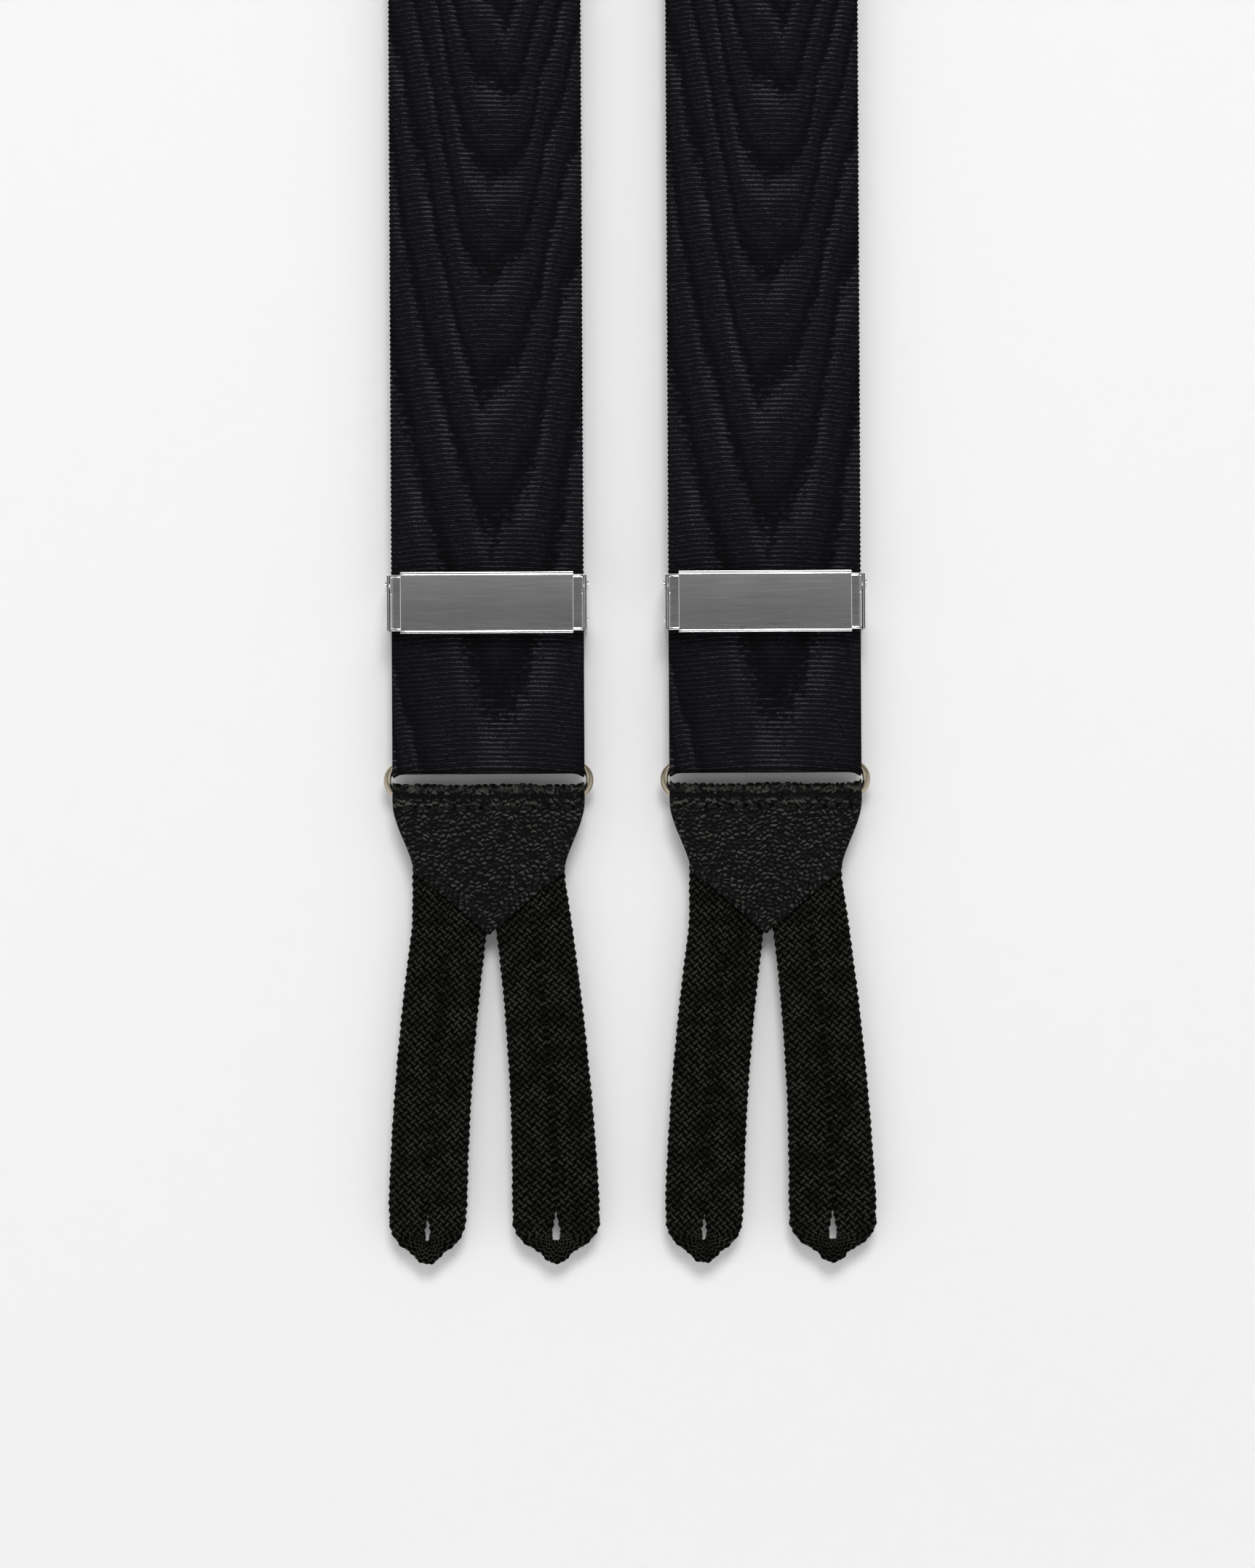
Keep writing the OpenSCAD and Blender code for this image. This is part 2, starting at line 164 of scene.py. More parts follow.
def piece(name, strap, points, quads, caps, material, slot, **attributes):
    """A mesh object from flat-frame points. Each attribute is one vector per point."""
    place = strap.place(points.reshape(-1, 3)) if strap else points.reshape(-1, 3)
    if signed_volume(place, quads) < 0:
        quads = quads[:, ::-1]
        caps = [cap[::-1] for cap in caps]
    sizes = np.concatenate([np.full(len(quads), 4), [len(cap) for cap in caps]]).astype(np.int32)
    corner = np.concatenate([quads.ravel(), *[np.array(cap) for cap in caps]]).astype(np.int32)
    mesh = bpy.data.meshes.new(name)
    mesh.vertices.add(len(place))
    mesh.vertices.foreach_set("co", place.astype(np.float32).ravel())
    mesh.loops.add(len(corner))
    mesh.loops.foreach_set("vertex_index", corner)
    mesh.polygons.add(len(sizes))
    mesh.polygons.foreach_set("loop_start", np.concatenate([[0], np.cumsum(sizes)[:-1]]).astype(np.int32))
    mesh.polygons.foreach_set("use_smooth", np.ones(len(sizes), bool))
    mesh.update(calc_edges=True)
    mesh.validate()
    for key, values in attributes.items():
        layer = mesh.attributes.new(key, "FLOAT_VECTOR", "POINT")
        layer.data.foreach_set("vector", values.astype(np.float32).ravel())
    mesh.materials.append(material)
    made = bpy.data.objects.new(name, mesh)
    bpy.context.scene.collection.objects.link(made)
    return made


# ---- Materials ----


class Nodes:
    """Short calls that build a node tree. A value is a socket, or a plain number, vector or colour."""

    def __init__(self, tree):
        self.tree = tree

    def wire(self, socket, value):
        """Links a socket to another, or sets its value."""
        if isinstance(value, bpy.types.NodeSocket):
            self.tree.links.new(value, socket)
        else:
            socket.default_value = value

    def add(self, kind, inputs=(), **settings):
        """A new node with its inputs and its settings."""
        node = self.tree.nodes.new("ShaderNode" + kind)
        for key, value in settings.items():
            setattr(node, key, value)
        for key, value in dict(inputs).items():
            self.wire(node.inputs[key], value)
        return node

    def math(self, operation, a, b=0.0, c=0.0):
        return self.add("Math", {0: a, 1: b, 2: c}, operation=operation).outputs[0]

    def vector(self, operation, a, b):
        return self.add("VectorMath", {0: a, 1: b}, operation=operation).outputs[0]

    def split(self, vector):
        """The three numbers of a vector."""
        return self.add("SeparateXYZ", {0: vector}).outputs

    def attribute(self, name):
        """The whole vector of a mesh attribute, and its three numbers."""
        vector = self.add("Attribute", attribute_name=name).outputs["Vector"]
        return vector, *self.split(vector)

    def wave(self, turns):
        """1 at whole turns, and 0 halfway between them."""
        swing = self.math("COSINE", self.math("MULTIPLY", turns, 2 * math.pi))
        return self.math("MULTIPLY_ADD", swing, 0.5, 0.5)

    def span(self, value, low, high, to_low=0.0, to_high=1.0):
        """A smooth step from to_low to to_high as value goes from low to high."""
        return self.add("MapRange", {0: value, 1: low, 2: high, 3: to_low, 4: to_high},
                        interpolation_type="SMOOTHSTEP").outputs[0]

    def noise(self, vector, stretch, detail=2.0):
        """Noise with about stretch features for each unit along each direction."""
        stretched = self.vector("MULTIPLY", vector, stretch)
        return self.add("TexNoise", {"Vector": stretched, "Scale": 1.0, "Detail": detail}).outputs["Fac"]

    def ramp(self, value, stops):
        """Colours at stops from 0 to 1."""
        node = self.add("ValToRGB", {"Fac": value})
        while len(node.color_ramp.elements) < len(stops):
            node.color_ramp.elements.new(0.5)
        for element, (at, colour) in zip(node.color_ramp.elements, stops):
            element.position = at
            element.color = (*colour, 1)
        return node.outputs["Color"]


class Material(Nodes):
    """A material, and its Principled shader's main sockets."""

    SOCKETS = {"colour": "Base Color", "roughness": "Roughness", "metallic": "Metallic",
               "specular": "Specular IOR Level", "normal": "Normal"}

    def __init__(self, name):
        self.material = bpy.data.materials.new(name)
        self.material.use_nodes = True
        super().__init__(self.material.node_tree)
        self.shader = self.tree.nodes["Principled BSDF"]

    def place_noise(self, stretch, detail=2.0):
        """Noise with about stretch features for each millimetre of the object's space."""
        where = self.add("TexCoord").outputs["Object"]
        return self.noise(where, [count / MM for count in stretch], detail)

    def bump(self, height, distance, strength=1.0):
        """A normal from a height. The distance is in millimetres."""
        return self.add("Bump", {"Height": height, "Distance": distance * MM,
                                 "Strength": strength}).outputs["Normal"]

    def finish(self, **sockets):
        """Wires the shader's sockets, and returns the material."""
        for key, value in sockets.items():
            self.wire(self.shader.inputs[self.SOCKETS[key]], value)
        return self.material


def ribbed_cloth(name, dark, light):
    """Moire grosgrain with painted rib sheen: attribute cloth holds x, the count of rib pairs, and the
    moire's phase.
    """
    m = Material(name)
    cloth, _, pairs, phase = m.attribute("cloth")
    fibre = m.noise(cloth, (3.4, 2.2, 0.0), 3.0)
    streak = m.noise(cloth, (0.7, 1.1, 0.0), 1.0)
    patch = m.noise(cloth, (0.16, 0.07, 0.0))
    fray = m.math("MULTIPLY", m.math("SUBTRACT", streak, 0.5), 0.5)
    turn = m.math("ADD", phase, fray)
    bright = m.span(m.wave(m.math("SUBTRACT", turn, 0.1)), 0.5, 0.98)
    shade = m.span(m.wave(m.math("ADD", turn, 0.14)), 0.6, 0.98)
    bent = m.math("MULTIPLY_ADD", m.wave(m.math("ADD", turn, 0.25)), 0.3, pairs)
    pair = m.math("POWER", m.wave(bent), 2.0)
    single = m.wave(m.math("MULTIPLY", bent, 2.0))
    level = m.math("MULTIPLY", bright, m.span(patch, 0.3, 0.7, 0.12, 0.68))
    level = m.math("ADD", level, m.span(streak, 0.3, 0.75, 0.08, 0.42))
    # Painted sheen: the rib lines are lighter in colour where the fibres would glint, strongest in the
    # moire's bright bands and dimmed in its dark ones.
    rib_sheen = m.math("MULTIPLY_ADD", single, 0.2, m.math("MULTIPLY", pair, level))
    rib_sheen = m.math("MULTIPLY", rib_sheen, m.math("SUBTRACT", 1.0, m.math("MULTIPLY", shade, 0.6)))
    rib_sheen = m.math("MULTIPLY", rib_sheen, m.span(fibre, 0.3, 0.7, 0.3, 1.25))
    dim = [(a * 3 + b) / 4 for a, b in zip(dark, light)]
    colour = m.ramp(rib_sheen, [(0.0, dark), (0.35, dim), (1.0, light)])
    height = m.math("ADD", pair, m.math("MULTIPLY", single, 0.5))
    return m.finish(colour=colour, roughness=m.span(rib_sheen, 0.0, 1.0, 0.75, 0.5), specular=0.03,
                    normal=m.bump(height, 0.06, 0.6))


def braid_yarn():
    """Bundles of fine filaments, with a painted highlight: attribute thread holds the place across, the
    length, and the crest.
    """
    m = Material("braid_yarn")
    thread, across, _, crest = m.attribute("thread")
    filament = m.noise(thread, (4.5, 0.5, 0.0))
    patch = m.place_noise((0.25, 0.25, 0.25))
    # Painted highlight: a lighter line along the middle of each yarn's face where it floats over, fading to
    # painted shade where it dips under the other yarns.
    middle = m.span(m.math("ABSOLUTE", across), 0.05, 0.8, 1.0, 0.06)
    tone = m.math("MULTIPLY", m.span(crest, 0.2, 0.8), middle)
    tone = m.math("MULTIPLY", tone, m.span(filament, 0.3, 0.7, 0.55, 1.1))
    tone = m.math("MULTIPLY", tone, m.span(patch, 0.25, 0.75, 0.6, 1.15))
    colour = m.ramp(tone, [(0.0, (0.0010, 0.0010, 0.0008)), (0.45, (0.006, 0.0058, 0.0048)),
                           (1.0, (0.035, 0.034, 0.027))])
    return m.finish(colour=colour, roughness=m.span(filament, 0.2, 0.8, 0.6, 0.45), specular=0.03,
                    normal=m.bump(filament, 0.05, 0.6))


def leather_grain():
    """Pebbled calf: attribute hide holds x, the length along the hide, and how strong the crest's painted
    highlight is.
    """
    m = Material("pebbled_leather")
    hide, _, _, crest = m.attribute("hide")
    pores = m.noise(hide, (7.0, 11.0, 0.0), 3.0)
    mottle = m.noise(hide, (0.5, 0.5, 0.0))
    # Painted highlight: the crests are lighter in colour where they would glint, broken up by the pores and
    # a random mottle.
    painted_glint = m.math("MULTIPLY", m.span(crest, 0.3, 0.95), m.span(pores, 0.36, 0.6, 0.35, 1.0))
    painted_glint = m.math("MULTIPLY", painted_glint, m.span(mottle, 0.35, 0.65, 0.45, 1.1))
    colour = m.ramp(painted_glint, [(0.0, (0.0009, 0.0009, 0.0008)), (0.35, (0.003, 0.0029, 0.0027)),
                           (1.0, (0.078, 0.075, 0.067))])
    return m.finish(colour=colour, roughness=m.span(pores, 0.3, 0.7, 0.36, 0.5), specular=0.07,
                    normal=m.bump(pores, 0.05, 0.5))


def thread_material(name, light):
    """Twisted thread, with painted shade in its hollows."""
    m = Material(name)
    twist = m.place_noise((3.0, 3.0, 3.0))
    colour = m.ramp(twist, [(0.3, [c * 0.2 for c in light]), (0.75, light)])
    return m.finish(colour=colour, roughness=0.7, specular=0.05, normal=m.bump(twist, 0.06))


def metal(name, colour, tarnish, roughness):
    """Polished metal with faint streaks across the strap, and slight tarnish in its colour."""
    m = Material(name)
    streak = m.place_noise((0.12, 4.0, 6.0), 3.0)
    stain = m.place_noise((0.1, 0.1, 0.1))
    tone = m.ramp(stain, [(0.3, colour), (0.75, tarnish)])
    rough = m.span(streak, 0.25, 0.75, roughness * 0.8, roughness * 1.25)
    return m.finish(colour=tone, metallic=1.0, roughness=rough, normal=m.bump(streak, 0.02, 0.15))


def studio_surface(name):
    """Pale and matt, with the faintest unevenness."""
    m = Material(name)
    cloud = m.place_noise((0.004, 0.004, 0.004))
    tone = m.ramp(cloud, [(0.0, [PALE * 0.99] * 3), (1.0, [PALE] * 3)])
    m.finish(colour=tone, roughness=0.8, specular=0.1)
    return m


RIBBON = ribbed_cloth("moire_grosgrain", (0.0014, 0.0014, 0.0019), (0.053, 0.051, 0.059))
ELASTIC = ribbed_cloth("ribbed_elastic", (0.0016, 0.0016, 0.002), (0.05, 0.05, 0.053))
YARN = braid_yarn()
LEATHER = leather_grain()
THREAD = thread_material("sewing_thread", (0.016, 0.0155, 0.015))
SEAM = thread_material("loop_sewing", (0.003, 0.0029, 0.0024))
PLATE = metal("polished_plate", (0.78, 0.775, 0.77), (0.72, 0.715, 0.71), 0.13)
WIRE = metal("nickel_wire", (0.46, 0.41, 0.32), (0.36, 0.31, 0.23), 0.2)


# ---- Ribbons ----


RIB_PAIR = 0.94
RIB = RIB_PAIR / 2
COLUMNS = 22
SELVEDGE_W = 2.2
YOKE_MEETING = 126  # below the bar, where the two ribbons have come together
YOKE_END = 148  # below the bar, where the ribbons end inside the yoke
YOKE_END_SLANT = 24 / 46.4
BACK_BEND = math.radians(9.2)  # how far each ribbon has turned inwards at its end
TRAVEL_TOP = 40  # below the bar, where the slide's travel begins to show in the ribbon
ELASTIC_RETURN = 25  # how far the elastic goes up behind itself
ELASTIC_CORD = 2.3  # from one lengthwise cord to the next


def flat_ring(half_w, thickness, columns):
    """Points of a flat strip's closed section: across, and out of its plane. Its edges are round."""
    r = thickness / 2
    across = (half_w - r) * np.sin(np.linspace(-math.pi / 2, math.pi / 2, columns))
    turn = np.linspace(0, math.pi, 5)[1:-1]
    edge_x, edge_t = half_w - r + r * np.sin(turn), r * np.cos(turn)
    x = np.concatenate([across, edge_x, across[::-1], -edge_x])
    t = np.concatenate([np.full(columns, r), edge_t, np.full(columns, -r), -edge_t])
    return x, t


def moire_phase(x, s):
    """Nested rounded V bands, point down, that widen towards the slide, with a little waviness."""
    off_middle = np.abs(x - 2 + 0.8 * np.sin(s / 23))
    bowl = 9
    arms = np.where(off_middle < bowl, off_middle**2 / 4, bowl**2 / 4 + bowl / 2 * (off_middle - bowl))
    waves = 1.8 * np.sin(0.55 * x + s / 31) + 1.1 * np.sin(1.1 * x - s / 13)
    ripples = 1.5 * np.sin(0.8 * x + s / 6.3) * np.sin(s / 17)
    down = 246.5 - s + arms + waves + ripples
    return 0.0649 * down - 0.000156 * np.clip(down, 0, 200) ** 2


def cloth_attribute(x, s):
    """x, the count of rib pairs, which arch a little, and the moire's phase."""
    x, s = np.broadcast_arrays(x, s)
    return np.stack([x, (s + 0.75 * (x / HALF_W) ** 2) / RIB_PAIR, moire_phase(x, s)], axis=-1)


def selvedge(x, t, rows):
    """The woven edges stand a little proud and zigzag from one weft to the next."""
    odd = (np.arange(rows) % 2)[:, None] * 2 - 1
    rim = ease((np.abs(x) - HALF_W + SELVEDGE_W) / 0.6)[None, :]
    x = x[None, :] + np.sign(x)[None, :] * 0.11 * odd * rim
    t = t[None, :] * (1 + 0.06 * rim * odd)
    return x, t


def ribbon_over_shoulder(side, strap):
    """From the slide up the front, over the bar, and down to the yoke. side is -1 left and 1 right."""
    hanger_r = RIBBON_W_MID
    bar_u = -strap.z
    bend_in = abs(strap.x) - HALF_W
    bend_r = (YOKE_MEETING**2 + bend_in**2) / (2 * bend_in)
    front = bar_u - SLIDE_MID
    arch = math.pi * hanger_r
    s = np.arange(0, front + arch + BACK_BEND * bend_r, RIB)
    angle = np.clip((s - front) / hanger_r, 0, math.pi)
    bend = np.clip(s - front - arch, 0, None)[:, None] / bend_r
    x, t = flat_ring(HALF_W, RIBBON_T, COLUMNS)
    x, t = selvedge(x, t, len(s))
    depth = hanger_r + t
    over_y = -depth * np.cos(angle)[:, None]
    over_z = np.where(s[:, None] < front, SLIDE_MID + s[:, None] - bar_u, depth * np.sin(angle)[:, None])
    out = bend_r + side * x
    bent_x = strap.x * side - bend_r + out * np.cos(bend)
    bent_z = np.maximum(-out * np.sin(bend), YOKE_END_SLANT * bent_x - YOKE_END)
    behind = bend > 0
    points = np.stack([np.where(behind, side * np.maximum(bent_x, 0.05), strap.x + x), over_y,
                       np.where(behind, bent_z, over_z)], axis=-1)
    quads, caps = tube_faces(1, len(s), x.shape[1])
    made = piece(f"{strap.name}_ribbon_cloth", None, points * MM, quads, caps, RIBBON, "ribbon",
                 cloth=cloth_attribute(x, SLIDE_MID + s[:, None]))
    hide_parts(f"{strap.name}_ribbon", f"{strap.name}_ribbon_run")

    # Two points on the straight front, where the slide's travel would begin and end, leaning so as to stay
    # clear of all behind the bar.
    lowest_behind = -np.where(over_y > 0, points[..., 2], 0).min()
    lean_back = 1.02 * (lowest_behind - TRAVEL_TOP) / (2 * hanger_r - RIBBON_T)
    fall = (front - TRAVEL_TOP) / (1 + lean_back**2)
    start, end = strap.place([[0, bar_u - TRAVEL_TOP, hanger_r],
                              [0, bar_u - TRAVEL_TOP - fall, hanger_r + fall * lean_back]])
    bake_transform(made)


def end_drop(x):
    """How far the middle of the wire has turned in from its straight bar, at x."""
    past = np.clip(np.abs(x) - BAR_HALF, 0, END_R * 0.98)
    return END_R - np.sqrt(END_R**2 - past**2)


def folded_strip(x, t, front_top, back_top, fold_r):
    """A strip down in front, round the loop's upper bar and up behind: points and lengths along it."""
    down = np.arange(front_top, TOP_BAR, -RIB)
    turn = np.linspace(0, math.pi, 13)
    up = np.arange(TOP_BAR + RIB, back_top, RIB)
    spread = ease((np.abs(x) - BAR_HALF) / 2) * 0.25
    drop = end_drop(x)
    front_u = np.broadcast_to(down[:, None], (len(down), x.shape[-1]))
    front_w = np.broadcast_to(LOOP_W + fold_r + t, front_u.shape)
    turn_u = TOP_BAR - drop - (fold_r + t + spread) * np.sin(turn)[:, None]
    turn_w = LOOP_W + (fold_r + t) * np.cos(turn)[:, None]
    back_u = np.broadcast_to(up[:, None], (len(up), x.shape[-1]))
    back_w = np.broadcast_to(LOOP_W - fold_r - t, back_u.shape)
    u = np.concatenate([front_u, turn_u, back_u])
    w = np.concatenate([front_w, turn_w, back_w])
    s = np.concatenate([down, TOP_BAR - turn * fold_r, TOP_BAR - math.pi * fold_r - (up - TOP_BAR)])
    return np.stack([np.broadcast_to(x, u.shape), u, w], axis=-1), s


def ribbon_tail(strap):
    """The doubled end below the slide, round the wire loop."""
    x, t = flat_ring(HALF_W, RIBBON_T, COLUMNS)
    points, s = folded_strip(x, t, SLIDE_MID - 0.1, HEM_BAR_U - 0.1, FOLD_R)
    quads, caps = tube_faces(1, len(s), len(x))
    made = piece(f"{strap.name}_ribbon_end", strap, points, quads, caps, RIBBON, "ribbon",
                 cloth=cloth_attribute(x[None, :], s[:, None]))
    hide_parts(f"{strap.name}_ribbon_tail")
    start, end = strap.place([[0, SLIDE_MID - 2, RIBBON_W_MID], [0, TOP_BAR + 4, RIBBON_W_MID]])
    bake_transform(made)


def ribbon_hem(strap):
    """The ribbon's end, turned over the slide's rear bar and sewn down behind."""
    x, t = flat_ring(HALF_W, RIBBON_T, COLUMNS)
    turn = np.linspace(0, math.pi, 13)
    down = np.arange(HEM_BAR_U, HEM_END_U, -RIB)[1:]
    turn_u = HEM_BAR_U + (HEM_R + t) * np.sin(turn)[:, None]
    turn_w = HEM_BAR_W + (HEM_R + t) * np.cos(turn)[:, None]
    down_u = np.broadcast_to(down[:, None], (len(down), len(x)))
    down_w = np.broadcast_to(HEM_BAR_W - HEM_R - t, down_u.shape)
    u = np.concatenate([turn_u, down_u])
    w = np.concatenate([turn_w, down_w])
    weave_start = 60
    s = weave_start - np.concatenate([turn * HEM_R, math.pi * HEM_R + HEM_BAR_U - down])
    points = np.stack([np.broadcast_to(x, u.shape), u, w], axis=-1)
    quads, caps = tube_faces(1, len(s), len(x))
    made = piece(f"{strap.name}_hem_cloth", strap, points, quads, caps, RIBBON, "ribbon",
                 cloth=cloth_attribute(x[None, :], s[:, None]))
    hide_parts(f"{strap.name}_ribbon_hem")
    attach(made, f"{strap.name}_slide")


def elastic_strap():
    """Woven elastic with lengthwise cords, from inside the yoke round the back loop and up behind."""
    _, high = BACK.measure("elastic_strap")
    thickness = RIBBON_T * 1.2
    fold_r = high[2] - LOOP_W - thickness / 2
    x, t = flat_ring(high[0], thickness, 90)
    t = t * (1 - 0.06 * (1 - np.cos(2 * math.pi * x / ELASTIC_CORD)) / 2)
    points, s = folded_strip(x, t, high[1], TOP_BAR + ELASTIC_RETURN, fold_r)
    quads, caps = tube_faces(1, len(s), len(x))
    weave = np.stack(np.broadcast_arrays(x[None, :], s[:, None] / 0.8, 0.5), axis=-1)
    made = piece("elastic_cloth", BACK, points, quads, caps, ELASTIC, "elastic", cloth=weave)
    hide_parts("elastic_strap")
    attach(made, "harness")


elastic_strap()
for side, strap in ((-1, LEFT), (1, RIGHT)):
    ribbon_over_shoulder(side, strap)
    ribbon_tail(strap)
    ribbon_hem(strap)


# ---- Leather tabs and yoke ----


HOLE_PITCH = 2.6
HOLE_SHIFT = 0.2
SEAM_DROP = 2.3  # from the loop's lower bar down to the row of holes


def scatter(cell_x, cell_y, seed):
    """A steady random number from 0 to 1 for each grid cell."""
    return np.modf(np.abs(np.sin(cell_x * 127.1 + cell_y * 311.7 + seed * 74.7) * 43758.5453))[0]


def pebbles(x, y, size, seed):
    """Rounded grains of about that width and height: 1 on their crests and 0 in the creases."""
    px, py = x / size[0], y / size[1]
    px, py = px + 0.3 * np.sin(py * 0.9 + seed), py + 0.35 * np.sin(px * 0.8 + seed * 2)
    ix, iy = np.floor(px), np.floor(py)
    near = np.full(px.shape, 9.0)
    second = near.copy()
    for dx in (-1, 0, 1):
        for dy in (-1, 0, 1):
            cx, cy = ix + dx, iy + dy
            away = np.hypot(px - cx - scatter(cx, cy, seed), py - cy - scatter(cx, cy, seed + 5))
            second = np.minimum(second, np.maximum(near, away))
            near = np.minimum(near, away)
    return ease((second - near) / 0.55)


def tab_half(u):
    """Half the width of the tab: straight lower edges, then concave sides up to its shoulders."""
    corner_u, corner_x = 77.8, 14.7
    lower = corner_x * (u - TAB_TIP) / (corner_u - TAB_TIP)
    upper = corner_x + (TAB_HALF_W - corner_x) * ease((u - corner_u + 1.5) / 15.5)
    return np.clip(np.where(u < corner_u, lower, upper), 0.35, None)


def rounded(edge, width):
    """0 inside an edge, and 1 at its rim, along a quarter circle."""
    return 1 - np.sqrt(1 - np.clip(1 - edge / width, 0, 1) ** 2)


def ridge(away, width):
    """1 on a line, and soon 0 to both sides of it."""
    return np.exp(-((away / width) ** 2))


def leather_tab(strap, seed):
    """One piece of pebbled leather: front panel, wrap over the lower bar, back panel."""
    rise = np.arange(TAB_TIP, LOW_BAR, 0.21)
    turn = np.linspace(0, math.pi, 27)[1:-1]
    wrap = math.pi * WRAP_R
    row_u = np.concatenate([rise, np.full(len(turn), LOW_BAR), rise[::-1]])[:, None]
    angle = np.concatenate([np.zeros(len(rise)), turn, np.full(len(rise), math.pi)])[:, None]
    along = np.concatenate([rise, LOW_BAR + turn * WRAP_R, 2 * LOW_BAR + wrap - rise[::-1]])
    columns, inner = 180, 14
    across = np.concatenate([np.linspace(-1, 1, columns), np.linspace(1, -1, inner)])
    face = np.concatenate([np.full(columns, 1.0), np.full(inner, -1.0)])
    x = across[None, :] * tab_half(row_u)
    s = np.broadcast_to(along[:, None], x.shape)
    edge = tab_half(row_u) - np.abs(x)

    seam = LOW_BAR - SEAM_DROP
    down = np.where(s > LOW_BAR + wrap / 2, 2 * LOW_BAR + wrap - s, s)
    top = ease((down - seam + 0.6) / 0.5)
    grain = pebbles(x, s, (1.2, 0.95), seed + 1) * (1 - top) + pebbles(x, s, (1.3, 1.1), seed) * top
    from_hole = (x + HOLE_SHIFT) % HOLE_PITCH - HOLE_PITCH / 2
    hole = ridge(from_hole, 0.42) * ridge(down - seam, 0.4)
    groove = ridge(down - LOW_BAR + 0.15, 0.45)
    crease = ridge(edge - 0.75, 0.2)
    soft = 0.15 * np.sin(0.33 * x + seed) * np.sin(0.21 * s + seed)
    height = (grain - 0.5) * (0.28 + 0.12 * top) - 0.55 * hole - 0.32 * groove - 0.1 * crease + soft
    out = np.where(face > 0, LEATHER_T / 2 + height - 0.3 * rounded(edge, 0.35), -LEATHER_T / 2)
    out = np.maximum(out, -LEATHER_T / 2 + 0.02 * (face > 0))

    lift = end_drop(x) * ease((row_u - LOW_BAR + 3) / 3)
    radius = WRAP_R + out
    points = np.stack([x, row_u + lift + radius * np.sin(angle), LOOP_W + radius * np.cos(angle)], axis=-1)
    quads, caps = tube_faces(1, len(along), len(across))

    # The crests get a painted highlight where they face up towards the light, and along the roll of leather
    # over the bar.
    lit = np.clip(0.35 - 0.55 * np.gradient(grain, s[:, columns // 2], axis=0), 0, 1)
    roll_highlight = ridge(down - LOW_BAR - 1.1, 0.55) * (0.4 + 1.1 * pebbles(x, s, (0.8, 1.4), seed + 2))
    painted_glint_mask = np.maximum(lit * (1 - hole) * (1 - groove) * (1 + 0.6 * top), roll_highlight)
    crest = np.where(face > 0, painted_glint_mask, 0.2)
    made = piece(f"{strap.name}_tab_leather", strap, points, quads, caps, LEATHER, "leather",
                 hide=np.stack([x, s, crest], axis=-1))
    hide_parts(f"{strap.name}_leather_tab")
    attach(made, f"{strap.name}_tab")


def yoke_panel(node, outward, seed):
    """One pebbled panel of the yoke: heart-shaped above, drawn in to the elastic's width below."""
    low, high = BACK.measure(node)
    half_w, top, bottom = high[0], high[1] - 1, low[1]
    thickness, middle_w = high[2] - low[2], (high[2] + low[2]) / 2
    neck = half_w - 23
    columns, inner, rows = 210, 12, 200
    across = np.concatenate([np.linspace(-1, 1, columns), np.linspace(1, -1, inner)])[None, :]
    face = np.concatenate([np.ones(columns), -np.ones(inner)])[None, :]
    v = np.linspace(0, 1, rows)[:, None]
    away = np.abs(across)
    edge_u = bottom + 4 + v * (top - 3 - bottom - 4)
    x = across * (neck + (half_w - neck) * ease((edge_u - bottom - 7) / 59))
    dip = 9 * np.exp(-((away * half_w / 8.5) ** 1.6))
    shoulder = ease((away * half_w - 20) / 19) - 4 * ease((away - 1) * half_w / 3 + 1)
    crown = top - dip + shoulder
    foot = bottom + 4 * away
    u = foot + v * (crown - foot)
    edge = np.minimum((1 - away) * half_w, np.minimum(crown - u, u - foot))
    grain = pebbles(x, u, (1.3, 0.95), seed)
    height = (grain - 0.5) * 0.24 - 0.12 - 0.12 * ridge(edge - 2, 0.35)
    round_edge = 0.4 * rounded(edge, 0.45)
    out = np.where(face > 0, thickness / 2 + height - round_edge, -thickness / 2 + 0.5 * round_edge)
    points = np.stack(np.broadcast_arrays(x, u, middle_w + outward * out), axis=-1)
    quads, caps = tube_faces(1, rows, across.shape[1])
    # Painted highlight on the pebbles' crests, through the leather's colour.
    crest = np.where(face > 0, grain, 0.2)
    made = piece(f"{node}_leather", BACK, points, quads, caps, LEATHER, "leather",
                 hide=np.stack([x, u, crest], axis=-1))
    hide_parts(node)
    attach(made, "harness")


for seed, strap in enumerate((LEFT, RIGHT, BACK)):
    leather_tab(strap, seed)
yoke_panel("yoke_patch", 1, 7)
yoke_panel("yoke_lining", -1, 8)


# ---- Braided loops ----


YARNS = 10  # wound each way
LAY = 15.4  # of braid for one turn of a yarn
BRAID_T = 2.6
BRAID_TOP = 86  # hidden behind the leather
CAD_BRAID_TOP = LEFT.measure("left_braid_loop_a")[1][1]
LOOP_HALF_TOP = 7.5
WIDEST_U = 8.6
TURN_U = 6.0  # where the two runs pass into the turn
SLIT_LOW, SLIT_TOP = 4.75, 13.8
SLIT_OVERLAP = 0.5  # the two runs press together above the buttonhole


def loop_half(half_low, u):
    """Half the width of a whole loop, wider towards its turn."""
    return LOOP_HALF_TOP + (half_low - LOOP_HALF_TOP) * ((CAD_BRAID_TOP - u) / CAD_BRAID_TOP) ** 2


def loop_middle(base, half_low, u):
    """The x of a loop's middle: the two loops lean together until they touch."""
    away = np.maximum(abs(base) - 0.001 * u * u, loop_half(half_low, u) + 0.1)
    return math.copysign(1, base) * away


